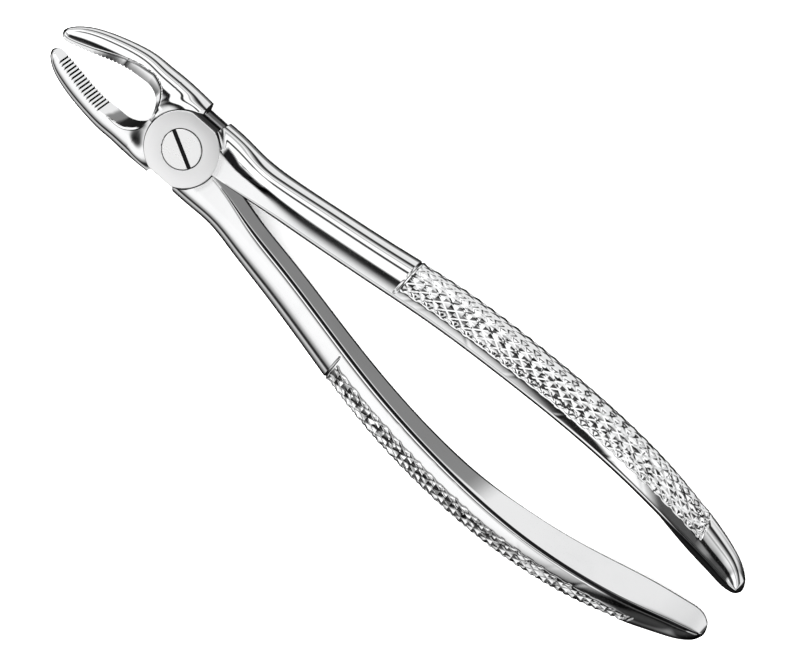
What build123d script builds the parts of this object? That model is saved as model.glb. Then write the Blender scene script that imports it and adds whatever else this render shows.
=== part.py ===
from build123d import *
import math
import os

# Extraction forceps: two crossed forgings, lap-jointed on a slotted pivot screw.
# Frame: X runs from the beaks (-X) to the handles (+X), Z is the pivot axis, and the
# origin is on that axis in the flat back face of the joint. All sizes are millimetres.

# Joint
JOINT_THICKNESS = 9.0
DISC_RADIUS = 8.0
DISC_FLAT = 7.45
RECESS_CLEARANCE = 0.1
PARTING_GAP = 0.1
STOP_GAP = 0.1
HANDLE_SHOULDER_DEG = 67.0

# Beaks
THROAT_CENTRE_X = -14.0
THROAT_RADIUS = 5.0
TOOTH_COUNT = 17
TOOTH_PITCH = 0.78
TOOTH_DEPTH = 0.38
FIRST_TOOTH_X = -17.6

# Pivot screw
HEAD_RADIUS = 4.2
HEAD_DEPTH = 1.8
SLOT_WIDTH = 0.85
SLOT_DEPTH = 1.0
SLOT_DEG = -29.0
JOURNAL_RADIUS = 3.0
THREAD_RADIUS = 2.5
THREAD_ROOT_RADIUS = 2.15
THREAD_PITCH = 0.7
JOURNAL_CLEARANCE = 0.05
THREAD_CLEARANCE = 0.04
THREAD_RELIEF = 0.35

MID_Z = JOINT_THICKNESS / 2

# Stations along the +Y handle: x, distance of the inner face from the middle plane,
# width of the flat top, depth of the rounded back, half height, rise, twist in degrees.
HANDLE_STATIONS = [
    (1.0, 0.05, 4.7, 4.2, 4.35, 0.0, 0.0),
    (8.5, 0.05, 4.1, 4.9, 4.35, 0.0, 0.0),
    (13.0, 0.75, 2.6, 5.5, 4.40, 0.6, 0.0),
    (20.0, 2.05, 1.2, 6.4, 4.50, 1.7, 0.0),
    (30.0, 3.60, 0.7, 7.1, 4.60, 2.7, 0.0),
    (45.0, 6.15, 0.4, 7.7, 4.80, 4.2, 0.0),
    (60.0, 8.70, 0.4, 8.1, 5.15, 5.4, 0.0),
    (80.0, 10.70, 0.4, 8.1, 5.50, 6.3, 1.0),
    (100.0, 10.70, 0.4, 8.2, 5.50, 5.8, 8.0),
    (115.0, 9.00, 0.4, 8.3, 5.45, 4.1, 16.0),
    (128.0, 6.60, 0.4, 7.6, 5.05, 1.8, 23.0),
    (136.0, 5.15, 0.4, 6.2, 4.20, -0.1, 25.0),
    (140.5, 4.80, 0.4, 3.9, 2.90, -0.8, 25.0),
    (142.2, 5.20, 0.4, 1.9, 1.40, -1.0, 25.0),
]

# Stations along the +Y beak: x, distance of the edge of the flat top from the middle
# plane, depth of the rounded back, half height, rise. The mouth is cut out afterwards.
BEAK_STATIONS = [
    (-0.5, 4.90, 4.6, 4.15, 0.0),
    (-6.0, 4.90, 4.9, 4.10, 0.0),
    (-10.0, 4.90, 4.9, 4.00, 0.0),
    (-13.0, 4.95, 4.75, 3.80, 0.1),
    (-16.0, 5.00, 4.70, 3.45, 0.3),
    (-20.0, 4.65, 4.50, 3.10, 0.9),
    (-24.0, 3.70, 4.50, 2.90, 1.9),
    (-28.0, 2.55, 4.30, 2.60, 2.9),
    (-31.0, 1.80, 3.45, 2.20, 3.7),
    (-32.8, 1.75, 1.95, 1.45, 4.0),
    (-33.5, 2.05, 0.90, 0.80, 4.1),
]

# The inner edge of the mouth, from the end of the throat's arc to past the tip.
MOUTH_EDGE = [(-16.0, 4.88), (-20.0, 4.52), (-24.0, 3.55), (-28.0, 2.40), (-31.0, 1.65)]
MOUTH_TIP = [(-32.8, 1.60), (-33.5, 1.90), (-36.0, 3.20)]

# The two beaks are forged slightly unequal: how far each tip reaches from the pivot
# and what its back has over the stations above.
UPPER_BEAK = {"reach": 33.0, "fuller": -0.2, "shoulder_deg": 72.0}
LOWER_BEAK = {"reach": 33.6, "fuller": 0.3, "shoulder_deg": 81.0}
BACK_EXPONENT = 2.5
BACK_STEPS = 8


def section(x, inner, flat, back, half_height, rise, twist):
    """Closed face across the bar: flat inner side, flat lands, rounded back."""
    corner = inner + flat
    spline_points = []
    for step in range(BACK_STEPS + 1):
        angle = math.radians(90 - 180 * step / BACK_STEPS)
        reach = max(math.cos(angle), 0.0) ** (2 / BACK_EXPONENT)
        height = math.copysign(abs(math.sin(angle)) ** (2 / BACK_EXPONENT), angle)
        spline_points.append((flat + back * reach, half_height * height))
    turn = math.radians(twist)
    across = (math.cos(turn), -math.sin(turn))
    upward = (math.sin(turn), math.cos(turn))

    def place(point):
        u, w = point
        return (
            inner + u * across[0] + w * upward[0],
            MID_Z + rise + u * across[1] + w * upward[1],
        )

    top_in = place((0, half_height))
    bottom_in = place((0, -half_height))
    back_points = [place(point) for point in spline_points]
    outline = [
        Line(bottom_in, top_in),
        Line(top_in, back_points[0]),
        Spline(*back_points),
        Line(back_points[-1], bottom_in),
    ]
    plane = Plane(origin=(x, 0, 0), x_dir=(0, 1, 0), z_dir=(1, 0, 0))
    return plane * make_face(outline)


def bar(stations):
    """Solid lofted through the sections at the given stations."""
    return loft([section(*station) for station in stations])


def column(radius, bottom, top):
    return Pos(0, 0, (bottom + top) / 2) * Cylinder(radius, top - bottom)


def past_angle(degrees):
    """Block that covers the quarter turn past a radial line, seen from above."""
    size = 60.0
    block = Box(size, size, size, align=(Align.MIN, Align.MIN, Align.CENTER))
    return Rot(0, 0, degrees) * block


def handle_arm():
    """The +Y handle with its neck, ending at its shoulder beside the disc."""
    return bar(HANDLE_STATIONS) - past_angle(HANDLE_SHOULDER_DEG)


def mouth_edge(x):
    """Distance of the beak's inner face from the middle plane at x."""
    for near, far in zip(MOUTH_EDGE, MOUTH_EDGE[1:]):
        if far[0] <= x <= near[0]:
            share = (x - near[0]) / (far[0] - near[0])
            return near[1] + share * (far[1] - near[1])
    raise ValueError("outside the toothed stretch")


def mouth():
    """Prism of the open space between the middle plane and the +Y beak's toothed face."""
    start, end = (THROAT_CENTRE_X + THROAT_RADIUS, 0), (THROAT_CENTRE_X, THROAT_RADIUS)
    bend = math.sqrt(0.5) * THROAT_RADIUS
    teeth = []
    for index in range(TOOTH_COUNT):
        crest_x = FIRST_TOOTH_X - index * TOOTH_PITCH
        root_x = crest_x - TOOTH_PITCH / 2
        teeth.append((crest_x, mouth_edge(crest_x)))
        teeth.append((root_x, mouth_edge(root_x) + TOOTH_DEPTH))
    floor = -1.0
    outline = [
        ThreePointArc(start, (THROAT_CENTRE_X + bend, bend), end),
        Line(end, MOUTH_EDGE[0]),
        Line(MOUTH_EDGE[0], teeth[0]),
        Polyline(*teeth),
        Line(teeth[-1], MOUTH_EDGE[-1]),
        Polyline(MOUTH_EDGE[-1], *MOUTH_TIP, (MOUTH_TIP[-1][0], floor), (start[0], floor), start),
    ]
    face = make_face([edge for piece in outline for edge in piece.edges()])
    return Pos(0, 0, -JOINT_THICKNESS) * extrude(face, 3 * JOINT_THICKNESS)


def beak_arm(reach, fuller, shoulder_deg):
    """The +Y beak with its root, ending at its shoulder beside the disc."""
    tip = BEAK_STATIONS[-1][0]
    stretch = (-reach - THROAT_CENTRE_X) / (tip - THROAT_CENTRE_X)
    stations = []
    for x, edge, back, half_height, rise in BEAK_STATIONS:
        if x < THROAT_CENTRE_X:
            x = THROAT_CENTRE_X + (x - THROAT_CENTRE_X) * stretch
        swell = fuller * min(back / BEAK_STATIONS[0][2], 1.0)
        stations.append((x, STOP_GAP / 2, edge, back + swell, half_height, rise, 0.0))
    return bar(stations) - mouth() - past_angle(90 - shoulder_deg)


def disc(bottom, top):
    """Round joint plate with its two sides cut flat."""
    plate = column(DISC_RADIUS, bottom, top)
    return plate & Pos(0, 0, MID_Z) * Box(60, 2 * DISC_FLAT, 60)


def lower_half():
    """Forging with the +Y beak and the -Y handle; the screw is threaded into it."""
    floor = MID_Z - PARTING_GAP / 2
    body = beak_arm(**LOWER_BEAK) + mirror(handle_arm(), Plane.XZ)
    body -= column(DISC_RADIUS + RECESS_CLEARANCE, floor, 3 * JOINT_THICKNESS)
    body -= column(DISC_RADIUS - 1, -JOINT_THICKNESS, 3 * JOINT_THICKNESS)
    body += disc(0, floor)
    return body - column(THREAD_RADIUS + THREAD_CLEARANCE, -1, JOINT_THICKNESS)


def upper_half():
    """Forging with the -Y beak and the +Y handle; it turns on the screw's journal."""
    floor = MID_Z + PARTING_GAP / 2
    body = mirror(beak_arm(**UPPER_BEAK), Plane.XZ) + handle_arm()
    body -= column(DISC_RADIUS + RECESS_CLEARANCE, -JOINT_THICKNESS, floor)
    body -= column(DISC_RADIUS - 1, -JOINT_THICKNESS, 3 * JOINT_THICKNESS)
    body += disc(floor, JOINT_THICKNESS)
    body -= column(JOURNAL_RADIUS + JOURNAL_CLEARANCE, 0, JOINT_THICKNESS)
    seat_floor = JOINT_THICKNESS - HEAD_DEPTH - JOURNAL_CLEARANCE
    return body - column(HEAD_RADIUS + JOURNAL_CLEARANCE, seat_floor, JOINT_THICKNESS + 1)


def pivot_screw():
    """Flush slotted screw: head, plain journal and threaded end."""
    head_floor = JOINT_THICKNESS - HEAD_DEPTH
    journal_floor = MID_Z - PARTING_GAP / 2
    points = [(0, JOINT_THICKNESS), (HEAD_RADIUS, JOINT_THICKNESS)]
    points += [(HEAD_RADIUS, head_floor), (JOURNAL_RADIUS, head_floor)]
    points += [(JOURNAL_RADIUS, journal_floor), (THREAD_ROOT_RADIUS, journal_floor)]
    ridges = int((journal_floor - THREAD_RELIEF) / THREAD_PITCH)
    for ridge in range(ridges):
        top = journal_floor - ridge * THREAD_PITCH
        points.append((THREAD_RADIUS, top - THREAD_PITCH / 2))
        points.append((THREAD_ROOT_RADIUS, top - THREAD_PITCH))
    points += [(THREAD_ROOT_RADIUS, 0), (0, 0)]
    half_section = make_face(Polyline(*points, close=True).edges())
    screw = revolve(Plane.XZ * half_section, Axis.Z)
    slot = Box(3 * HEAD_RADIUS, SLOT_WIDTH, 2 * SLOT_DEPTH)
    return screw - Pos(0, 0, JOINT_THICKNESS) * Rot(0, 0, SLOT_DEG) * slot


def main():
    os.makedirs("parts", exist_ok=True)
    nodes = {
        "upper_half": upper_half(),
        "lower_half": lower_half(),
        "pivot_screw": pivot_screw(),
    }
    for name, shape in nodes.items():
        shape.label = name
        export_step(shape, f"parts/{name}.step")


main()
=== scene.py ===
import math

import bpy
import numpy as np
from mathutils import Matrix, Vector


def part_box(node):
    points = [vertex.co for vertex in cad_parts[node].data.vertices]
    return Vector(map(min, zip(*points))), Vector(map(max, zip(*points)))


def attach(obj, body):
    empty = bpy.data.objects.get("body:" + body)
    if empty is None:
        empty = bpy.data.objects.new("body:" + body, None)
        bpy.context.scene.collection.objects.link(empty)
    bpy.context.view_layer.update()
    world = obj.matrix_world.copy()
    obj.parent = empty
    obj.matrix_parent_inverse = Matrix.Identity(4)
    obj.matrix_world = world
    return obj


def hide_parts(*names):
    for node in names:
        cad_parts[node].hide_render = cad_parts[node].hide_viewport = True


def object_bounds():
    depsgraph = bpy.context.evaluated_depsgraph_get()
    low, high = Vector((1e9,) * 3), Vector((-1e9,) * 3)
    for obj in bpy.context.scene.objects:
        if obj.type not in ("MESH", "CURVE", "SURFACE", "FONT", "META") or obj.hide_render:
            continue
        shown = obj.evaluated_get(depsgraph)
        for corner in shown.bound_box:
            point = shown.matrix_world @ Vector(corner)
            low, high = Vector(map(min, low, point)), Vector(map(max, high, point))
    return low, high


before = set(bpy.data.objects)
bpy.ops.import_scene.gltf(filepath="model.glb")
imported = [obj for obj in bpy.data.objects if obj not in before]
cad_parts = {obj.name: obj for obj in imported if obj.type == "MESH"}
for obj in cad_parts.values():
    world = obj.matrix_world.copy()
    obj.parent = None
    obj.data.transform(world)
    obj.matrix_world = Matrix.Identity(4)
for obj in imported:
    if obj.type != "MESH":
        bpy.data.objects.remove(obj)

cad_corners = [list(corner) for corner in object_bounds()]

# Extraction forceps: two polished forgings with chequered grips, crossed on a slotted
# pivot screw. Shapes are worked out in millimetres and become metres in make_object().
MM = 0.001

# ---------------------------------------------------------------- sizes from the frame
JOINT_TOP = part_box("pivot_screw")[1].z / MM
HEAD_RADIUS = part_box("pivot_screw")[1].x / MM
HANDLE_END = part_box("upper_half")[1].x / MM
UPPER_REACH = -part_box("upper_half")[0].x / MM
LOWER_REACH = -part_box("lower_half")[0].x / MM
MID_Z = JOINT_TOP / 2
KEPT_INSIDE = 0.02
LOWEST_Z = cad_corners[0][2] / MM + KEPT_INSIDE
HIGHEST_Z = cad_corners[1][2] / MM - KEPT_INSIDE

DISC_RADIUS = 8.0
DISC_FLAT = 7.45
DISC_RIM = 0.22
CORE_RADIUS = 7.0
RECESS_RADIUS = 8.1
RECESS_RIM = 0.16
PARTING_GAP = 0.1
STOP_GAP = 0.05
HANDLE_SHOULDER_DEG = 67.0
UPPER_SHOULDER_DEG = 72.0
LOWER_SHOULDER_DEG = 81.0

# Wedge that bevels the edge of a beak's shoulder: distance from the shoulder's face and
# height over the middle of the joint, and how far from the pivot it runs.
SHOULDER_WEDGE = [(-1.0, 2.0), (2.0, 5.0), (-1.0, 6.5)]
WEDGE_SPAN = (5, 20)

# Dip of the beak's root: a flat land round the recess, and a hollow round the disc.
ROOT_LAND_DEPTH = 0.34
ROOT_HOLLOW_DEPTH = 0.55

HEAD_DEPTH = 1.8
HEAD_CHAMFER = 0.17
SLOT_WIDTH = 0.85
SLOT_DEPTH = 1.0
SLOT_DEG = -29.0
JOURNAL_RADIUS = 3.0
THREAD_RADIUS = 2.5
THREAD_ROOT_RADIUS = 2.15
THREAD_PITCH = 0.7
THREAD_RELIEF = 0.35
THREAD_CLEARANCE = 0.04
FIT_GAP = 0.05

# Stations along the +Y handle: x, distance of the inner face from the middle plane,
# width of the flat top, depth of the rounded back, half height, rise, twist in degrees.
HANDLE_STATIONS = [
    (1.0, 0.05, 4.7, 4.2, 4.50, 0.0, 0.0),
    (8.5, 0.05, 4.1, 4.9, 4.50, 0.0, 0.0),
    (13.0, 0.75, 3.5, 4.6, 4.48, 0.4, 0.0),
    (20.0, 2.05, 2.2, 5.4, 4.50, 1.7, 0.0),
    (30.0, 3.60, 1.0, 6.8, 4.60, 2.7, 0.0),
    (45.0, 6.15, 0.4, 7.7, 4.80, 4.2, 0.0),
    (60.0, 8.70, 0.4, 8.1, 5.15, 5.4, 0.0),
    (80.0, 10.70, 0.4, 8.1, 5.50, 6.3, 1.0),
    (100.0, 10.70, 0.4, 8.2, 5.50, 5.8, 8.0),
    (115.0, 9.00, 0.4, 8.3, 5.45, 4.1, 16.0),
    (128.0, 6.60, 0.4, 7.6, 5.05, 1.8, 23.0),
    (136.0, 5.15, 0.4, 6.2, 4.20, -0.1, 25.0),
    (140.5, 4.80, 0.4, 3.9, 2.90, -0.8, 25.0),
    (142.2, 5.20, 0.4, 1.9, 1.40, -1.0, 25.0),
]

# Stations along the +Y beak: x, width of the flat top, depth of the rounded back,
# half height, rise.
BEAK_STATIONS = [
    (-0.5, 4.90, 4.6, 4.15, 0.0),
    (-6.0, 4.90, 4.9, 4.10, 0.0),
    (-10.0, 4.90, 4.9, 4.00, 0.0),
    (-13.0, 4.95, 4.75, 3.80, 0.1),
    (-16.0, 5.00, 4.70, 3.45, 0.3),
    (-20.0, 4.65, 4.50, 3.10, 0.9),
    (-24.0, 3.70, 4.50, 2.90, 1.9),
    (-28.0, 2.55, 4.30, 2.60, 2.9),
    (-31.0, 1.80, 3.45, 2.20, 3.7),
    (-32.8, 1.75, 1.95, 1.45, 4.0),
    (-33.5, 2.05, 0.90, 0.80, 4.1),
]
THROAT_CENTRE_X = -14.0
THROAT_RADIUS = 5.0

# Edge of the mouth: x and distance from the middle plane.
MOUTH_EDGE = [
    (-14.0, 5.0), (-16.0, 4.88), (-20.0, 4.52), (-24.0, 3.55), (-28.0, 2.40),
    (-31.0, 1.65), (-32.8, 1.60), (-33.5, 1.90), (-36.0, 3.20),
]

# Shelf along the mouth's upper edge: x, width, drop at its outer and its inner edge.
WIDE_LEDGE = [
    (-33.6, 0.6, 0.1, 0.2), (-26.4, 1.1, 0.12, 0.38), (-20.0, 1.9, 0.25, 0.9),
    (-17.5, 2.2, 0.6, 1.4), (-14.0, 2.4, 1.0, 1.85), (-11.0, 1.9, 0.9, 1.6),
    (-9.0, 0.8, 0.5, 0.75), (-7.8, 0.5, 0.0, 0.0),
]
NARROW_LEDGE = [(-33.6, 0.3, 0.1, 0.2), (-12.0, 0.35, 0.1, 0.25), (-8.0, 0.3, 0.0, 0.0)]

# Teeth: each is a flat crest and a notch, as shares of the pitch and of the depth.
TOOTH_COUNT = 17
TOOTH_PITCH = 0.78
TOOTH_DEPTH = 0.3
TOOTH_PROFILE = ((0, 0), (0.54, 0.04), (0.76, 1.0), (0.98, 0.04))
FIRST_TOOTH_X = -17.6
BEAK_TIP_RADIUS = 0.8
BACK_EXPONENT = 2.5

# Outer edge of the land that carries the disc's face on into the neck: x and y.
LAND_EDGE = ((3.0, 7.0, 9.0, 11.0, 13.0, 20.0), (5.6, 5.2, 4.85, 4.6, 4.65, 5.3))
LAND_DROP = 0.75
LAND_FADE = (9.0, 19.0)

# Pocket of painted shade beside that land: its width by the disc, how much narrower it
# becomes and between which x, where it starts and stops, and the lowest height that it
# reaches.
POCKET_WIDTH = 1.1
POCKET_NARROWING = 0.4
POCKET_NECK = (8.5, 11.5)
POCKET_START = (6.5, 7.2)
POCKET_STOP = (18, 22)
POCKET_FLOOR = 2.5

# Corners of a handle's inner face, its end, and the painted dark reflection lines along the
# corners, which are given in degrees from the face round to the top.
EDGE_RADIUS = 1.0
LOW_EDGE_RADIUS = 2.2
LOW_TIP_RADIUS = 0.6
LOW_LINE_WIDTH = 0.25
HANDLE_END_RADIUS = 1.1
LINE_START, LINE_STOP = 15, 60
TOP_LINE_START = 85
TOP_LINE_STRENGTH = 0.45

# Chequering: diamonds between two crossing sets of grooves, in half diamonds. Round the
# back the grooves grow shallower, and a slanting line closes the pattern.
GRIP_START = 52.1
HALF_DIAMOND_LENGTH = 1.6
GRIP_HALF_DIAMONDS = 48
GIRTH_HALF_DIAMONDS = 18
CELL_STEPS = 5
GROOVE_DEPTH = 0.52
GROOVE_FLOOR = 0.2
GROOVE_FADE = 1.7
GROOVE_STOP = 0.3
GROOVE_STRENGTHS = (0.86, 1.06)
GROOVE_CYCLE = 97
BACK_SHALLOWING = 0.72
GRIP_SINK = 0.1
RING_X = 51.5
RING_HALF_WIDTH = 0.32
RING_DEPTH = 0.34
GRIP_END = GRIP_START + GRIP_HALF_DIAMONDS * HALF_DIAMOND_LENGTH
END_LINE_START = GRIP_END + 0.5
END_LINE_SLANT = 0.3
END_LINE_HALF_WIDTH = 0.28
END_LINE_DEPTH = 0.2


# ---------------------------------------------------------------- curves and sections
def smooth_between(stations, at):
    """Values of the station table at each x, on a natural cubic through the stations."""
    table = np.array(sorted(stations), float)
    x, values = table[:, 0], table[:, 1:]
    count, gaps = len(x), np.diff(x)
    system, right = np.eye(count), np.zeros_like(values)
    slopes = np.diff(values, axis=0) / gaps[:, None]
    for i in range(1, count - 1):
        system[i, i - 1 : i + 2] = gaps[i - 1], 2 * (gaps[i - 1] + gaps[i]), gaps[i]
        right[i] = 6 * (slopes[i] - slopes[i - 1])
    bend = np.linalg.solve(system, right)
    at = np.asarray(at, float)
    k = np.clip(np.searchsorted(x, at) - 1, 0, count - 2)
    h = gaps[k][:, None]
    left, ahead = (x[k + 1] - at)[:, None], (at - x[k])[:, None]
    return (
        (bend[k] * left**3 + bend[k + 1] * ahead**3) / (6 * h)
        + (values[k] / h - bend[k] * h / 6) * left
        + (values[k + 1] / h - bend[k + 1] * h / 6) * ahead
    )


def fade(value, start, end):
    """0 at start, 1 at end, eased between."""
    share = np.clip((np.asarray(value, float) - start) / (end - start), 0, 1)
    return share * share * (3 - 2 * share)


def rounded_end(left, radius):
    """Share of the full section at a distance from a rounded end of that radius."""
    if left >= radius:
        return 1.0
    return math.sqrt(max(1 - ((radius - left) / radius) ** 2, 0.0004))


def resample(path, positions):
    """Points at the given distances along a polyline."""
    steps = np.hypot(*np.diff(path, axis=0).T)
    along = np.concatenate([[0], np.cumsum(steps)])
    return np.stack([np.interp(positions, along, path[:, i]) for i in (0, 1)], 1)


def girth(path):
    return np.hypot(*np.diff(path, axis=0).T).sum()


def outward(path):
    """Unit normals of a polyline that runs clockwise, pointing away from its inside."""
    along = np.gradient(path, axis=0)
    along /= np.maximum(np.hypot(along[:, 0], along[:, 1])[:, None], 1e-9)
    return np.stack([-along[:, 1], along[:, 0]], 1)


def back_path(start, flat, back, half_height, points=120):
    """From the top at distance start, over the flat and round the back to the bottom."""
    angle = np.linspace(math.pi / 2, -math.pi / 2, points)
    power = 2 / BACK_EXPONENT
    u = flat + back * np.clip(np.cos(angle), 0, 1) ** power
    w = half_height * np.sign(np.sin(angle)) * np.abs(np.sin(angle)) ** power
    w = np.where(np.abs(w) < 1e-9, 0, w)
    if start < flat:
        u = np.concatenate([[start], u, [start]])
        w = np.concatenate([[half_height], w, [-half_height]])
        return np.stack([u, w], 1)
    share = min((start - flat) / back, 0.97)
    height = half_height * (1 - share**BACK_EXPONENT) ** (1 / BACK_EXPONENT)
    keep = u > start
    u = np.concatenate([[start], u[keep], [start]])
    w = np.concatenate([[height], w[keep], [-height]])
    return np.stack([u, w], 1)


# ---------------------------------------------------------------- meshes
def tube(rows, split=None):
    """Points and faces of a closed tube through equal rings, with a fan at each end.

    split(i, j) says which way a quad is cut: True joins (i, j) with (i + 1, j + 1),
    False the other two corners, None leaves it whole."""
    rows = np.asarray(rows)
    count, ring = rows.shape[:2]
    points = rows.reshape(-1, 3).tolist()
    faces = []
    for i in range(count - 1):
        for j in range(ring):
            after = (j + 1) % ring
            a, b = i * ring + j, i * ring + after
            c, d = a + ring, b + ring
            way = split(i, j) if split else None
            if way is None:
                faces.append((a, b, d, c))
            elif way:
                faces += [(a, b, d), (a, d, c)]
            else:
                faces += [(a, b, c), (b, d, c)]
    for start, flip in ((0, False), ((count - 1) * ring, True)):
        centre = len(points)
        points.append(np.mean(points[start : start + ring], axis=0).tolist())
        for j in range(ring):
            a, b = start + j, start + (j + 1) % ring
            faces.append((b, a, centre) if not flip else (a, b, centre))
    return points, faces


def lathe(profile, steps=128, flat=None):
    """Closed solid of a profile of (radius, z) that starts and ends on the axis.

    flat cuts two sides parallel to X at that distance, each inset as the radius is."""
    points, faces = [], []
    profile = list(profile)
    inner, bottom_z, top_z = profile[1:-1], profile[0][1], profile[-1][1]
    widest = max(radius for radius, _ in inner)
    for radius, z in inner:
        for k in range(steps):
            turn = 2 * math.pi * k / steps
            reach = radius
            if flat is not None and radius > flat / 2:
                limit = flat - (widest - radius)
                reach = min(radius, limit / max(abs(math.sin(turn)), 1e-6))
            points.append((reach * math.cos(turn), reach * math.sin(turn), z))
    for i in range(len(inner) - 1):
        for k in range(steps):
            a, b = i * steps + k, i * steps + (k + 1) % steps
            faces.append((a, b, b + steps, a + steps))
    for start, z, flip in ((0, bottom_z, True), ((len(inner) - 1) * steps, top_z, False)):
        centre = len(points)
        points.append((0, 0, z))
        for k in range(steps):
            a, b = start + k, start + (k + 1) % steps
            faces.append((b, a, centre) if flip else (a, b, centre))
    return points, faces


def make_object(name, shape, mirrored=False):
    """Object of a shape in millimetres, reflected in the middle plane if asked."""
    points, faces = shape
    points = np.array(points, float) * MM
    if mirrored:
        points[:, 1] *= -1
        faces = [tuple(reversed(face)) for face in faces]
    mesh = bpy.data.meshes.new(name)
    mesh.from_pydata(points.tolist(), [], faces)
    mesh.validate()
    obj = bpy.data.objects.new(name, mesh)
    bpy.context.scene.collection.objects.link(obj)
    return obj


def combine(body, tool, operation):
    """body with the tool cut from it or added to it; the tool is used up."""
    modifier = body.modifiers.new("combine", "BOOLEAN")
    modifier.operation = operation
    modifier.solver = "MANIFOLD"
    modifier.object = tool
    graph = bpy.context.evaluated_depsgraph_get()
    result = bpy.data.meshes.new_from_object(body.evaluated_get(graph))
    body.modifiers.clear()
    spent = body.data
    body.data = result
    bpy.data.meshes.remove(spent)
    bpy.data.objects.remove(tool)
    return body


def quarter_block(name, degrees):
    """Block over the quarter turn that starts at a radial line, seen from above."""
    size = 60.0
    corners = [(0, 0), (size, 0), (size, size), (0, size)]
    turn = math.radians(degrees)
    flat = [
        (x * math.cos(turn) - y * math.sin(turn), x * math.sin(turn) + y * math.cos(turn))
        for x, y in corners
    ]
    points = [(x, y, z) for z in (-size, size) for x, y in flat]
    faces = [(3, 2, 1, 0), (4, 5, 6, 7)]
    faces += [(k, (k + 1) % 4, (k + 1) % 4 + 4, k + 4) for k in range(4)]
    return make_object(name, (points, faces))


# ---------------------------------------------------------------- handles
def handle_rows_x():
    """x of every row, closest at the neck, ring and end, and the count before the grip."""
    neck = np.concatenate([
        np.arange(1.0, 15.0, 0.25),
        np.arange(15.0, 50.9, 0.7),
        np.arange(51.0, GRIP_START, 0.08),
    ])
    grip = np.linspace(GRIP_START, GRIP_END, GRIP_HALF_DIAMONDS * CELL_STEPS + 1)
    tip = np.concatenate([np.arange(GRIP_END + 0.1, 131, 0.1), np.arange(131, 141, 0.3)])
    close = HANDLE_END - HANDLE_END_RADIUS * (1 - np.sin(np.linspace(0, math.pi / 2, 12)))
    x = np.concatenate([neck, grip, tip[tip < close[0] - 0.05], close])
    return x, len(neck)


def groove_cut(along, across, line_depths):
    """Depth of the crossing grooves, as a share of the full depth, per lattice point."""
    depth = np.zeros(np.broadcast(along, across).shape)
    for family, position in enumerate(((along + across) / 2, (along - across) / 2)):
        line = np.round(position)
        away = np.abs(position - line) * 2
        strength = line_depths[family][np.mod(line.astype(int), len(line_depths[family]))]
        depth = np.maximum(depth, strength * np.minimum((1 - away) / (1 - GROOVE_FLOOR), 1))
    return np.maximum(depth, 0)


def edge_radius(x, half_height):
    """Radius of the corner between a handle's inner face and its top."""
    return np.minimum(EDGE_RADIUS, 0.2 * half_height) * (0.35 + 0.65 * fade(x, 10, 26))


def low_edge_radius(x, half_height):
    """Radius of the corner between a handle's inner face and its underside."""
    largest = LOW_EDGE_RADIUS + (LOW_TIP_RADIUS - LOW_EDGE_RADIUS) * fade(x, 82, 102)
    return np.minimum(largest, 0.45 * half_height)


def paint_edge_shade(body, side):
    """Marks painted dark reflection lines on a handle's inner face and painted shade in the
    pocket by the land.
    """
    points = np.empty(len(body.data.vertices) * 3)
    body.data.vertices.foreach_get("co", points)
    x, y, z = points.reshape(-1, 3).T / MM
    reach = np.clip(x, HANDLE_STATIONS[0][0], HANDLE_STATIONS[-1][0])
    inner, _, _, half_height, rise, twist = smooth_between(HANDLE_STATIONS, reach).T
    turn = np.radians(twist)
    y, z = side * y - inner, z - MID_Z - rise
    u, w = y * np.cos(turn) - z * np.sin(turn), y * np.sin(turn) + z * np.cos(turn)
    corner = edge_radius(x, half_height)
    below = w - half_height + corner
    bend = np.degrees(np.arctan2(below, corner - u))
    on_corner = (u < corner + 0.01) & (below > -0.01)
    # Painted dark reflection lines: one along the corner from the face to the top, a
    # fainter one where that corner meets the top, and one along the low corner.
    line = 1.0 * (on_corner & (bend > LINE_START) & (bend < LINE_STOP))
    line += TOP_LINE_STRENGTH * (on_corner & (bend > TOP_LINE_START))
    low = low_edge_radius(x, half_height) - half_height
    line += (u < 0.6) & (w < low + 0.01) & (w > -half_height)
    line *= (x > 11) & (x < HANDLE_END - 0.3)
    if side > 0:
        # Painted shade in the pocket beside the land, on the upper half only.
        beside = y + inner - np.interp(x, *LAND_EDGE)
        width = POCKET_WIDTH - POCKET_NARROWING * fade(x, *POCKET_NECK)
        pocket = fade(beside, -0.4, -0.15) * (1 - fade(beside, width, width + 0.4))
        pocket *= fade(x, *POCKET_START) * (1 - fade(x, *POCKET_STOP))
        pocket *= z + rise > POCKET_FLOOR
        line = np.maximum(line, pocket)
    mark = body.data.attributes.new("painted_edge_shade", "FLOAT", "POINT")
    mark.data.foreach_set("value", line)


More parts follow.
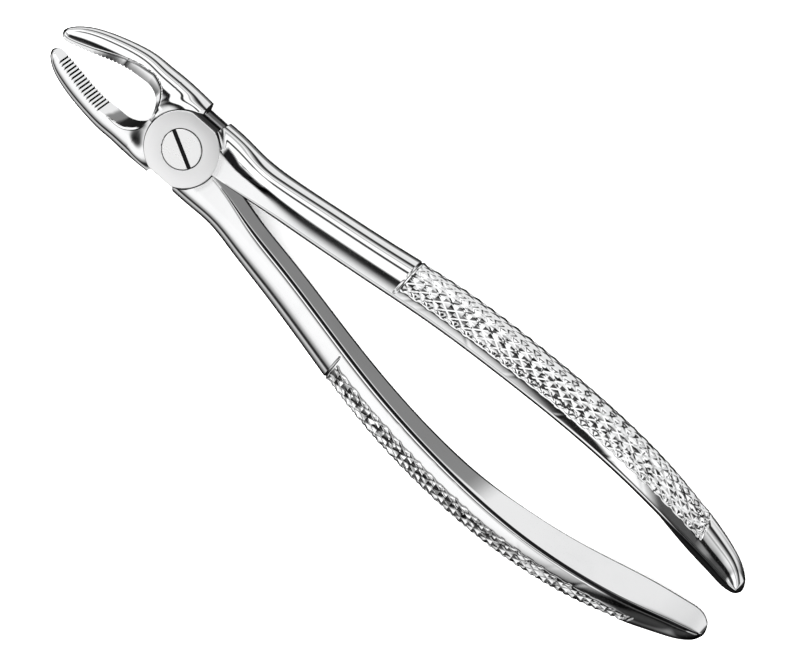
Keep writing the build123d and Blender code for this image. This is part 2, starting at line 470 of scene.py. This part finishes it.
def handle_shape(strip, seed, disc_side):
    """The +Y handle: neck, ring, chequered grip with plain strips beside it, and tip.

    disc_side is 1 if the half's own disc is at the top of the joint, -1 if below."""
    randomness = np.random.default_rng(seed)
    line_depths = [randomness.uniform(*GROOVE_STRENGTHS, GROOVE_CYCLE) for _ in range(2)]
    xs, first_grip_row = handle_rows_x()
    values = smooth_between(HANDLE_STATIONS, xs)
    grip_columns = GIRTH_HALF_DIAMONDS * CELL_STEPS
    last_grip_row = first_grip_row + GRIP_HALF_DIAMONDS * CELL_STEPS
    inner_count, corner_count, strip_count = 8, 9, 6
    rows = []
    for x, (inner, flat, back, half_height, rise, twist) in zip(xs, values):
        closing = rounded_end(HANDLE_END - x, HANDLE_END_RADIUS)
        corner = edge_radius(x, half_height)
        land = max(flat, corner + 0.02)
        path = back_path(corner, land, back - (land - flat), half_height)
        total = girth(path)
        edge = min(strip, 0.2 * total)
        columns = np.concatenate([
            np.linspace(0, edge, strip_count, endpoint=False),
            np.linspace(edge, total - edge, grip_columns + 1),
            np.linspace(total - edge, total, strip_count + 1)[1:],
        ])
        outer = resample(path, columns)
        inward = -outward(outer)
        from_strip = np.minimum(columns - edge, total - edge - columns)
        lattice = np.arange(-strip_count, grip_columns + strip_count + 1) / CELL_STEPS
        along = (x - GRIP_START) / HALF_DIAMOND_LENGTH
        cut = np.zeros(len(columns))
        end_line = END_LINE_START - END_LINE_SLANT * from_strip
        if GRIP_START - 0.01 <= x <= GRIP_END + 0.01:
            run_out = np.clip(end_line - GROOVE_STOP - x, 0, 1)
            reach = np.clip(from_strip / GROOVE_FADE, 0, 1) * run_out
            share = groove_cut(np.float64(along), lattice, line_depths)
            shallow = 1 - BACK_SHALLOWING * fade(from_strip, 4.0, 8.0)
            cut += GROOVE_DEPTH * shallow * np.maximum(share - (1 - reach), 0)
            sink = GRIP_SINK * min((x - GRIP_START) / 0.2 + 0.4, 1.0) * run_out
            cut += sink * fade(from_strip, 0, 0.8)
        ring = max(1 - abs(x - RING_X) / RING_HALF_WIDTH, 0)
        from_corner = np.minimum(columns, total - columns)
        cut += RING_DEPTH * ring * fade(from_corner, 0.4, 1.0)
        line = np.maximum(1 - np.abs(x - end_line) / END_LINE_HALF_WIDTH, 0)
        cut += END_LINE_DEPTH * line * fade(from_strip, 0, 0.6)
        outer = outer + inward * cut[:, None]
        bend = np.linspace(0, math.pi / 2, corner_count)[:-1]
        top = np.stack([corner - corner * np.cos(bend),
                        half_height - corner + corner * np.sin(bend)], 1)
        low = low_edge_radius(x, half_height)
        bottom = np.stack([corner - corner * np.cos(bend),
                           -half_height + low - low * np.sin(bend)], 1)[::-1]
        face = np.linspace(low - half_height, half_height - corner, inner_count + 1)
        face[1] = face[0] + LOW_LINE_WIDTH
        face = np.stack([np.zeros(inner_count), face[:-1]], 1)[1:]
        section = np.concatenate([face, top, outer, bottom])
        middle = np.array([0.45 * (flat + back), 0])
        section = middle + (section - middle) * closing
        turn = math.radians(twist)
        u, w = section.T
        y = inner + u * math.cos(turn) + w * math.sin(turn)
        z = MID_Z + rise - u * math.sin(turn) + w * math.cos(turn)
        rows.append(np.stack([np.full(len(y), x), y, z], 1))
    rows = np.array(rows)
    scoop_neck(rows, disc_side)
    rows[..., 2] = np.clip(rows[..., 2], LOWEST_Z, HIGHEST_Z)
    first_column = inner_count - 1 + corner_count - 1 + strip_count

    def split(i, j):
        k = j - first_column
        if not (first_grip_row <= i < last_grip_row and 0 <= k < grip_columns):
            return None
        return ((i - first_grip_row) // CELL_STEPS + k // CELL_STEPS) % 2 == 0

    return tube(rows, split)


def scoop_neck(rows, disc_side):
    """Sinks the neck beside its land where it runs up to the disc's own face."""
    x, y, z = rows[..., 0], rows[..., 1], rows[..., 2]
    beside = np.minimum(y - np.interp(x, *LAND_EDGE), np.hypot(x, y) - DISC_RADIUS - 0.2)
    amount = fade(beside, 0, 0.9) * (1 - fade(x, *LAND_FADE))
    height = disc_side * (z - MID_Z)
    rows[..., 2] = z - disc_side * LAND_DROP * amount * fade(height, 0.5, 3.5)


# ---------------------------------------------------------------- beaks
def beak_rows(reach):
    """x, distance of the inner face from the middle plane, and notch depth, row by row."""
    rows = [(x, STOP_GAP, 0) for x in np.arange(-0.5, -9.0, -0.5)]
    for turn in np.radians(np.arange(1.5, 90, 3)):
        rows.append((
            THROAT_CENTRE_X + THROAT_RADIUS * math.cos(turn),
            max(THROAT_RADIUS * math.sin(turn), STOP_GAP),
            0,
        ))
    last_tooth = FIRST_TOOTH_X - (TOOTH_COUNT - 0.5) * TOOTH_PITCH
    jaw = [(x, 0) for x in np.arange(-14.0, FIRST_TOOTH_X + 0.2, -0.3)]
    for tooth in range(TOOTH_COUNT):
        crest = FIRST_TOOTH_X - tooth * TOOTH_PITCH
        for share, depth in TOOTH_PROFILE:
            if tooth < TOOTH_COUNT - 1 or share <= 0.5:
                jaw.append((crest - share * TOOTH_PITCH, depth * TOOTH_DEPTH))
    near_tip = BEAK_TIP_RADIUS + 0.1 - reach
    jaw += [(x, 0) for x in np.arange(last_tooth - 0.25, near_tip, -0.2)]
    close = BEAK_TIP_RADIUS * (1 - np.sin(np.linspace(0, math.pi / 2, 9)))
    jaw += [(x, 0) for x in close - reach]
    edges = smooth_between(MOUTH_EDGE, [x for x, _ in jaw])[:, 0]
    return rows + [(x, edge, notch) for (x, notch), edge in zip(jaw, edges)]


def beak_shape(reach, fuller, ledge, slant, disc_side):
    """The +Y beak: root, smooth throat, toothed jaw and rounded tip.

    ledge describes the shelf along the mouth's upper edge, slant is how far the inner
    face leans back per unit of height, and disc_side is 1 if the half's own disc is at
    the top of the joint, -1 if below."""
    tip = BEAK_STATIONS[-1][0]
    stretch = (-reach - THROAT_CENTRE_X) / (tip - THROAT_CENTRE_X)
    stations = []
    for x, *rest in BEAK_STATIONS:
        if x < THROAT_CENTRE_X:
            x = THROAT_CENTRE_X + (x - THROAT_CENTRE_X) * stretch
        stations.append((x, *rest))
    places = beak_rows(reach)
    values = smooth_between(stations, [x for x, _, _ in places])
    inner_count = 10
    spacing = np.linspace(0, 1, 90)
    spacing = spacing - 0.09 * np.sin(2 * math.pi * spacing)
    rows = []
    for (x, edge, notch), (flat, back, half_height, rise) in zip(places, values):
        closing = rounded_end(x + reach, BEAK_TIP_RADIUS)
        back += fuller * min(back / BEAK_STATIONS[0][2], 1.0)
        start = edge - STOP_GAP
        draft = slant * float(fade(-x, 13.0, 18.5))
        path = back_path(start + 0.15 + 2 * draft * half_height, flat, back, half_height)
        height = path[0, 1] - 0.15
        along = spacing * girth(path)
        outer = resample(path, along)
        outer[:, 0] += notch * (1 - fade(np.minimum(along, along[-1] - along), 0, 0.8))
        face = np.linspace(-height, height, inner_count)
        depth = start + notch + draft * (face + height)
        face = np.stack([np.minimum(depth, outer[0, 0] - 0.02), face], 1)
        section = np.concatenate([face, outer])
        middle = np.array([start + 0.5 * (flat + back - start), 0])
        section = middle + (section - middle) * closing
        y, z = STOP_GAP + section[:, 0], MID_Z + rise + section[:, 1]
        rows.append(np.stack([np.full(len(y), x), y, z], 1))
    rows = np.array(rows)[:, ::-1]
    cut_ledge(rows, ledge)
    shape_root(rows, disc_side)
    return tube(rows)


def mouth_distance(x, y):
    """Distance outward from the mouth's edge, over the throat's arc and the jaw."""
    edge = smooth_between(MOUTH_EDGE, np.clip(x.ravel(), -36, -14))[:, 0].reshape(x.shape)
    from_arc = np.hypot(x - THROAT_CENTRE_X, y) - THROAT_RADIUS
    return np.where(x > THROAT_CENTRE_X, from_arc, y - edge)


def cut_ledge(rows, ledge):
    """Sinks a sloping shelf along the mouth's upper edge, wide and deep at the throat.

    The ledge is given by x, its width, and its drop at the outer and inner edge."""
    x, y, z = rows[..., 0], rows[..., 1], rows[..., 2]
    at, widths, outer_drops, inner_drops = zip(*ledge)
    away = mouth_distance(x, y)
    width = np.interp(x, at, widths)
    outer, inner = np.interp(x, at, outer_drops), np.interp(x, at, inner_drops)
    drop = inner + (outer - inner) * np.clip(away / width, 0, 1)
    wall = 0.35 + 0.6 * outer
    amount = drop * (1 - fade(away, width - 0.3 * wall, width + 0.7 * wall))
    rows[..., 2] = z - amount * fade(z, MID_Z + 0.3, MID_Z + 1.6)


def shape_root(rows, disc_side):
    """A flat land round the recess, and a hollow round the half's own disc opposite."""
    x, y, z = rows[..., 0], rows[..., 1], rows[..., 2]
    radius = np.hypot(x, y)
    height = disc_side * (z - MID_Z)
    land = ROOT_LAND_DEPTH * (1 - fade(radius, 9.1, 10.9)) * fade(-height, 1.5, 3.5)
    hollow = ROOT_HOLLOW_DEPTH * (1 - fade(radius, 8.4, 11.5)) * fade(height, 1.5, 3.5)
    rows[..., 2] = z - disc_side * (land + hollow)


# ---------------------------------------------------------------- joint
def rounded_rim(radius, bottom, top, rim):
    """Profile of a plate whose upper and lower rims are rounded."""
    turns = np.linspace(0, math.pi / 2, 5)
    flat = radius - rim
    low = [(flat + rim * math.sin(t), bottom + rim - rim * math.cos(t)) for t in turns]
    high = [(flat + rim * math.cos(t), top - rim + rim * math.sin(t)) for t in turns]
    return [(0, bottom), *low, *high, (0, top)]


def forging(name, beak, handle, beak_side, shoulder, disc_span, well):
    """One half: arms cut at their shoulders and hollowed for the other disc, and disc."""
    body = make_object(name, beak)
    block = quarter_block("shoulder_cutter", 90 - shoulder)
    combine(body, block, "DIFFERENCE")
    land = 1 if disc_span[0] < 1 else -1
    wedge = [(side, MID_Z + land * height) for side, height in SHOULDER_WEDGE]
    if land < 0:
        wedge.reverse()
    cutter = bar_along("wedge_cutter", wedge, *WEDGE_SPAN, 180 - shoulder)
    combine(body, cutter, "DIFFERENCE")
    if beak_side < 0:
        reflect(body)
    arm = make_object("handle_arm", handle)
    block = quarter_block("shoulder_cutter", HANDLE_SHOULDER_DEG)
    combine(arm, block, "DIFFERENCE")
    if beak_side > 0:
        reflect(arm)
    combine(body, arm, "UNION")
    combine(body, make_object("well_cutter", lathe(well)), "DIFFERENCE")
    bottom, top = disc_span
    plate = lathe(rounded_rim(DISC_RADIUS, bottom, top, DISC_RIM), 180, DISC_FLAT)
    combine(body, make_object("disc", plate), "UNION")
    return body


def reflect(body):
    """Reflects a body in the middle plane and keeps its faces outward."""
    body.data.transform(Matrix.Diagonal((1, -1, 1, 1)))
    body.data.flip_normals()


def finish_surface(body, degrees=28):
    """Smooth shading that keeps edges sharper than the given angle."""
    body.data.shade_smooth()
    body.data.set_sharp_from_angle(angle=math.radians(degrees))


def screw_shape():
    journal_floor = MID_Z - PARTING_GAP / 2
    head_floor = JOINT_TOP - HEAD_DEPTH
    profile = [(0, 0), (THREAD_ROOT_RADIUS, 0)]
    ridges = int((journal_floor - THREAD_RELIEF) / THREAD_PITCH)
    for ridge in reversed(range(ridges)):
        top = journal_floor - ridge * THREAD_PITCH
        profile.append((THREAD_ROOT_RADIUS, top - THREAD_PITCH))
        profile.append((THREAD_RADIUS, top - THREAD_PITCH / 2))
    profile += [(THREAD_ROOT_RADIUS, journal_floor), (JOURNAL_RADIUS, journal_floor)]
    profile += [(JOURNAL_RADIUS, head_floor), (HEAD_RADIUS, head_floor)]
    profile += [(HEAD_RADIUS, JOINT_TOP - HEAD_CHAMFER)]
    profile += [(HEAD_RADIUS - 0.4 * HEAD_CHAMFER, JOINT_TOP - 0.35 * HEAD_CHAMFER)]
    profile += [(HEAD_RADIUS - HEAD_CHAMFER, JOINT_TOP), (0, JOINT_TOP)]
    return lathe(profile, 160)


def bar_along(name, across, start, end, degrees):
    """Straight bar of an outline of (side, z) along a radial line, seen from above."""
    turn = math.radians(degrees)
    points = []
    for reach in (start, end):
        for side, z in across:
            x = reach * math.cos(turn) - side * math.sin(turn)
            y = reach * math.sin(turn) + side * math.cos(turn)
            points.append((x, y, z))
    count = len(across)
    faces = [tuple(range(count - 1, -1, -1)), tuple(range(count, 2 * count))]
    for k in range(count):
        after = (k + 1) % count
        faces.append((k, after, after + count, k + count))
    return make_object(name, (points, faces))


def slot_cutter():
    """Bar with a slight flare at its top, so that the slot's edges are broken."""
    half, reach = SLOT_WIDTH / 2, HEAD_RADIUS + 1
    across = [
        (-half, JOINT_TOP - SLOT_DEPTH), (half, JOINT_TOP - SLOT_DEPTH),
        (half, JOINT_TOP - 0.07), (half + 0.17, JOINT_TOP + 0.1),
        (-half - 0.17, JOINT_TOP + 0.1), (-half, JOINT_TOP - 0.07),
    ]
    return bar_along("slot_cutter", across, -reach, reach, SLOT_DEG)


# ---------------------------------------------------------------- shader wiring
# Black of the painted shade in the joint's gap and of the painted dark reflection lines on
# the handles.
PAINTED_SHADE_BLACK = (0.015, 0.015, 0.016, 1)
SATIN_RADIUS = 9.5


class Wire:
    """A shader socket that can be used in arithmetic."""

    def __init__(self, tree, socket=None):
        self.tree, self.socket = tree, socket

    def node(self, kind, settings=None, sockets=None, output=0):
        """A new node: settings are set first, then the values or links of its sockets."""
        made = self.tree.nodes.new(kind)
        for key, value in (settings or {}).items():
            if key == "stops":
                set_stops(made.color_ramp, value)
            else:
                setattr(made, key, value)
        for key, value in (sockets or {}).items():
            if isinstance(value, Wire):
                self.tree.links.new(value.socket, made.inputs[key])
            else:
                made.inputs[key].default_value = value
        return Wire(self.tree, made.outputs[output])

    def math(self, operation, first, second=0.0):
        return self.node("ShaderNodeMath", {"operation": operation}, {0: first, 1: second})

    def __add__(self, other):
        return self.math("ADD", self, other)

    def __radd__(self, other):
        return self.math("ADD", other, self)

    def __rsub__(self, other):
        return self.math("SUBTRACT", other, self)

    def __mul__(self, other):
        return self.math("MULTIPLY", self, other)

    def __rmul__(self, other):
        return self.math("MULTIPLY", other, self)

    def eased(self, start, end):
        """0 at start, 1 at end, smooth between; start may be the larger."""
        settings = {"interpolation_type": "SMOOTHSTEP"}
        sockets = {"Value": self, "From Min": start, "From Max": end}
        return self.node("ShaderNodeMapRange", settings, sockets)

    def parts(self):
        """The three components of a vector."""
        made = self.node("ShaderNodeSeparateXYZ", None, {0: self})
        outputs = made.socket.node.outputs
        return [Wire(self.tree, outputs[k]) for k in range(3)]


def set_stops(ramp, stops):
    while len(ramp.elements) > 1:
        ramp.elements.remove(ramp.elements[-1])
    for index, (position, grey) in enumerate(stops):
        element = ramp.elements[0] if index == 0 else ramp.elements.new(position)
        element.position = position
        element.color = (grey, grey, grey, 1)


def blend_colours(wire, share, first, second):
    settings = {"data_type": "RGBA"}
    return wire.node("ShaderNodeMix", settings, {0: share, 6: first, 7: second}, output=2)


def new_material(name):
    material = bpy.data.materials.new(name)
    material.use_nodes = True
    material.node_tree.nodes.clear()
    return material, Wire(material.node_tree)


def close_material(wire, shader):
    output = wire.tree.nodes.new("ShaderNodeOutputMaterial")
    wire.tree.links.new(shader.socket, output.inputs["Surface"])


def noise(wire, vector, scale, detail, roughness=0.5):
    sockets = {"Vector": vector, "Scale": scale, "Detail": detail, "Roughness": roughness}
    return wire.node("ShaderNodeTexNoise", {}, sockets)


def steel(name, clean, worn, satin_tone, polish, satin):
    """Polished steel with faint smudges and hairlines, and satin on the joint's face.

    The gap round the disc, the recess walls, the screw's slot and the seat round its head
    get painted shade, black above the middle of the joint and grey below. The marked lines
    along the handles' corners are painted dark reflections, and the marked pocket is
    painted shade."""
    material, wire = new_material(name)
    place = wire.node("ShaderNodeTexCoord", output=3)
    x, y, z = place.parts()
    smudge = noise(wire, place, scale=60.0, detail=5.0, roughness=0.6)
    stretched = wire.node(
        "ShaderNodeMapping", {}, {"Vector": place, "Scale": (0.12, 1.0, 1.0)}
    )
    hairline = noise(wire, stretched, scale=5200.0, detail=3.0)
    pits = noise(wire, place, scale=2600.0, detail=4.0)
    radius = wire.math("SQRT", x * x + y * y)
    on_face = z.eased((JOINT_TOP - 0.07) * MM, (JOINT_TOP - 0.02) * MM)
    ground = on_face * radius.eased(SATIN_RADIUS * MM, (DISC_RADIUS + 0.2) * MM)
    handled = smudge.eased(0.42, 0.72)
    # Painted shade in the joint: everything inside the disc's radius, below the top face
    # and above the bottom face, is darkened, black above the middle of the joint and grey
    # below.
    within = radius.eased(8.32 * MM, 8.26 * MM) * z.eased(0.06 * MM, 0.16 * MM)
    crevice_shade_mask = within * z.eased((JOINT_TOP - 0.06) * MM, (JOINT_TOP - 0.16) * MM)
    colour = blend_colours(wire, handled * 0.8 + ground * 0.2, clean, worn)
    colour = blend_colours(wire, ground, colour, satin_tone)
    deep = z.eased((MID_Z + 0.8) * MM, (MID_Z + 0.4) * MM)
    crevice_shade = blend_colours(wire, deep, PAINTED_SHADE_BLACK, (0.4, 0.4, 0.405, 1))
    # Painted dark reflection lines along the handles' corners and painted shade in the
    # pocket by the land, read per point.
    painted_edge_shade = wire.node("ShaderNodeAttribute", {"attribute_name": "painted_edge_shade"}, output=2)
    colour = blend_colours(wire, crevice_shade_mask, colour, crevice_shade)
    colour = blend_colours(wire, painted_edge_shade, colour, PAINTED_SHADE_BLACK)
    roughness = polish + 0.035 * handled + satin * ground + 0.02 * hairline
    height = 0.35 * hairline + 0.65 * pits * (0.3 + ground)
    bump = wire.node(
        "ShaderNodeBump", {}, {"Strength": 0.06, "Distance": 0.00002, "Height": height}
    )
    sockets = {"Base Color": colour, "Metallic": 1.0, "Roughness": roughness}
    sockets["Normal"] = bump
    close_material(wire, wire.node("ShaderNodeBsdfPrincipled", {}, sockets))
    return material


# ---------------------------------------------------------------- the object
core = MID_Z - PARTING_GAP / 2
upper_core = MID_Z + PARTING_GAP / 2
seat_floor = JOINT_TOP - HEAD_DEPTH - FIT_GAP
rim_radius = RECESS_RADIUS + RECESS_RIM
hole_radius = THREAD_RADIUS + THREAD_CLEARANCE
journal_bore = JOURNAL_RADIUS + FIT_GAP
seat_radius = HEAD_RADIUS + FIT_GAP
FAR = 40.0

lower = forging(
    "lower_forging",
    beak_shape(LOWER_REACH, fuller=0.3, ledge=WIDE_LEDGE, slant=0.0, disc_side=-1),
    handle_shape(strip=2.2, seed=11, disc_side=-1),
    beak_side=1,
    shoulder=LOWER_SHOULDER_DEG,
    disc_span=(0, core),
    well=[
        (0, -FAR), (CORE_RADIUS, -FAR), (CORE_RADIUS, core), (RECESS_RADIUS, core),
        (RECESS_RADIUS, JOINT_TOP - RECESS_RIM), (rim_radius, JOINT_TOP),
        (rim_radius, FAR), (0, FAR),
    ],
)
thread_hole = [(0, -1), (hole_radius, -1), (hole_radius, core + 1), (0, core + 1)]
combine(lower, make_object("hole_cutter", lathe(thread_hole)), "DIFFERENCE")

upper = forging(
    "upper_forging",
    beak_shape(UPPER_REACH, fuller=-0.2, ledge=NARROW_LEDGE, slant=0.14, disc_side=1),
    handle_shape(strip=1.5, seed=23, disc_side=1),
    beak_side=-1,
    shoulder=UPPER_SHOULDER_DEG,
    disc_span=(upper_core, JOINT_TOP),
    well=[
        (0, -FAR), (rim_radius, -FAR), (rim_radius, 0), (RECESS_RADIUS, RECESS_RIM),
        (RECESS_RADIUS, upper_core), (CORE_RADIUS, upper_core),
        (CORE_RADIUS, FAR), (0, FAR),
    ],
)
seat = [
    (0, 2), (journal_bore, 2), (journal_bore, seat_floor), (seat_radius, seat_floor),
    (seat_radius, JOINT_TOP - HEAD_CHAMFER),
    (seat_radius + 2 * HEAD_CHAMFER, JOINT_TOP + HEAD_CHAMFER),
    (0, JOINT_TOP + HEAD_CHAMFER),
]
combine(upper, make_object("seat_cutter", lathe(seat, 160)), "DIFFERENCE")

screw = make_object("slotted_pivot_screw", screw_shape())
combine(screw, slot_cutter(), "DIFFERENCE")

forged_steel = steel(
    "polished_forged_steel",
    clean=(0.95, 0.953, 0.957, 1),
    worn=(0.88, 0.885, 0.89, 1),
    satin_tone=(0.8, 0.8, 0.803, 1),
    polish=0.03,
    satin=0.3,
)
screw_steel = steel(
    "turned_screw_steel",
    clean=(0.94, 0.94, 0.935, 1),
    worn=(0.88, 0.88, 0.88, 1),
    satin_tone=(0.93, 0.93, 0.93, 1),
    polish=0.16,
    satin=0.1,
)
for piece, side, body, node, material, finish in (
    (lower, -1, "lower_body", "lower_half", forged_steel, "polished_steel"),
    (upper, 1, "upper_body", "upper_half", forged_steel, "polished_steel"),
    (screw, 0, "lower_body", "pivot_screw", screw_steel, "screw_steel"),
):
    finish_surface(piece)
    piece.visible_glossy = False
    if side:
        paint_edge_shade(piece, side)
    piece.data.materials.clear()
    piece.data.materials.append(material)
    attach(piece, body)
    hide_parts(node)
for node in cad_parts.values():
    node.data.materials.clear()
    node.data.materials.append(forged_steel)

# ---------------------------------------------------------------- floor and light
floor_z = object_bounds()[0].z / MM
FLOOR_REACH = 4000.0
floor_corners = [
    (FLOOR_REACH * x, FLOOR_REACH * y, floor_z)
    for x, y in ((-1, -1), (1, -1), (1, 1), (-1, 1))
]
floor = make_object("floor", (floor_corners, [(0, 1, 2, 3)]))
paper, wire = new_material("white_paper")
grain = wire.node("ShaderNodeTexNoise", {}, {"Scale": 900.0, "Detail": 3.0})
tone = blend_colours(wire, grain, (0.93, 0.93, 0.93, 1), (0.95, 0.95, 0.95, 1))
close_material(wire, wire.node("ShaderNodeBsdfDiffuse", {}, {"Color": tone}))
floor.data.materials.append(paper)
floor.visible_glossy = False

# Long soft boxes parallel to the forceps with dark gaps between them, seen only in
# reflections: the angle runs from straight down on the -Y side over the top to +Y.
PLAIN_LIGHT = 3.0
BAND_LIGHT = 1.08
DARK_END_DEPTH = 0.93
LIGHT_END_GLOW = 0.35
STOPS_IN_A_RAMP = 30
BANDS = [
    (-180, 0.01), (-122, 0.01), (-112, 0.06), (-100, 0.25), (-90, 0.5), (-83, 0.6),
    (-78, 0.4), (-75, 0.03), (-66, 0.01), (-63, 0.1), (-59, 0.27), (-53, 0.5), (-46, 0.82),
    (-38, 0.94), (-24, 0.96), (-19.5, 0.88), (-17, 0.68), (-13, 0.3), (-9.5, 0.06),
    (-6, 0.01), (2, 0.01), (3.5, 0.3), (5, 1.02), (32, 1.04),
    (37, 0.95), (38.5, 0.03), (47, 0.03), (48.5, 0.9), (50, 1.04), (66, 1.0), (68, 0.5),
    (73, 0.5), (75, 0.95), (82, 0.6), (91, 0.12), (95, 0.02), (104, 0.02), (108, 0.55),
    (112, 0.78), (151, 0.8), (154, 0.24), (162, 0.21), (164, 0.02), (180, 0.01),
]


def band_ramp(wire, angle, bands):
    """Brightness round the angle, in ramps short enough for one node each."""
    share = (angle + 180) * (1 / 360)
    total = None
    for start in range(0, len(bands), STOPS_IN_A_RAMP):
        stops = bands[start : start + STOPS_IN_A_RAMP + 1]
        low, high = stops[0][0], stops[-1][0]
        ramp = wire.node(
            "ShaderNodeValToRGB",
            {"stops": [((a + 180) / 360, grey) for a, grey in stops]},
            {0: share},
        )
        after = wire.math("GREATER_THAN", angle, low)
        before = wire.math("LESS_THAN", angle, high + 1e-3)
        part = ramp * (after * before)
        total = part if total is None else total + part
    return total


world = bpy.data.worlds.new("studio")
bpy.context.scene.world = world
world.use_nodes = True
world.node_tree.nodes.clear()
sky = Wire(world.node_tree)
direction = sky.node("ShaderNodeTexCoord", output=0)
dx, dy, dz = direction.parts()
angle = sky.math("ARCTAN2", dy, dz) * (180 / math.pi)
seen = band_ramp(sky, angle, BANDS)
# One dark stretch towards the handle ends, and a glow past the beaks.
dark_end = dx.eased(0.32, 0.43) * (1 - dx.eased(0.68, 0.78)) * dy.eased(0.8, 0.45)
light_end = dx.eased(-0.5, -0.62) * dz.eased(-0.1, 0.15)
seen = seen * (1 - DARK_END_DEPTH * dark_end) + LIGHT_END_GLOW * light_end
path = world.node_tree.nodes.new("ShaderNodeLightPath")
glossy = Wire(world.node_tree, path.outputs["Is Glossy Ray"])
strength = PLAIN_LIGHT * (1 - glossy) + BAND_LIGHT * (seen * glossy)
white_light = {"Color": (1, 1, 1, 1), "Strength": strength}
background = sky.node("ShaderNodeBackground", {}, white_light)
world_output = world.node_tree.nodes.new("ShaderNodeOutputWorld")
world.node_tree.links.new(background.socket, world_output.inputs["Surface"])

# ---------------------------------------------------------------- camera
TILT = math.radians(19.6)
ROLL = math.radians(-41.34)
BEARING = math.radians(37.5) - ROLL
to_camera = Vector((
    math.sin(TILT) * math.cos(BEARING), math.sin(TILT) * math.sin(BEARING), math.cos(TILT)
))
along_x = Vector((1, 0, 0)) - to_camera * to_camera.x
along_x.normalize()
along_y = to_camera.cross(along_x)
right = along_x * math.cos(ROLL) - along_y * math.sin(ROLL)
up = along_x * math.sin(ROLL) + along_y * math.cos(ROLL)
FRAME_WIDTH = 160.0
CAMERA_DISTANCE = 1400.0
SENSOR = 36.0
CENTRE_RIGHT, CENTRE_DOWN = 43.72, 36.78
centre = Vector((0, 0, JOINT_TOP)) + right * CENTRE_RIGHT - up * CENTRE_DOWN
camera_data = bpy.data.cameras.new("camera")
camera_data.sensor_width = SENSOR
camera_data.lens = SENSOR * CAMERA_DISTANCE / FRAME_WIDTH
camera_data.clip_start, camera_data.clip_end = 0.05, 20.0
camera = bpy.data.objects.new("camera", camera_data)
bpy.context.scene.collection.objects.link(camera)
turn = Matrix((right, up, to_camera)).transposed().to_4x4()
camera.matrix_world = Matrix.Translation((centre + to_camera * CAMERA_DISTANCE) * MM) @ turn
bpy.context.scene.camera = camera
bpy.context.scene.view_settings.view_transform = "Standard"
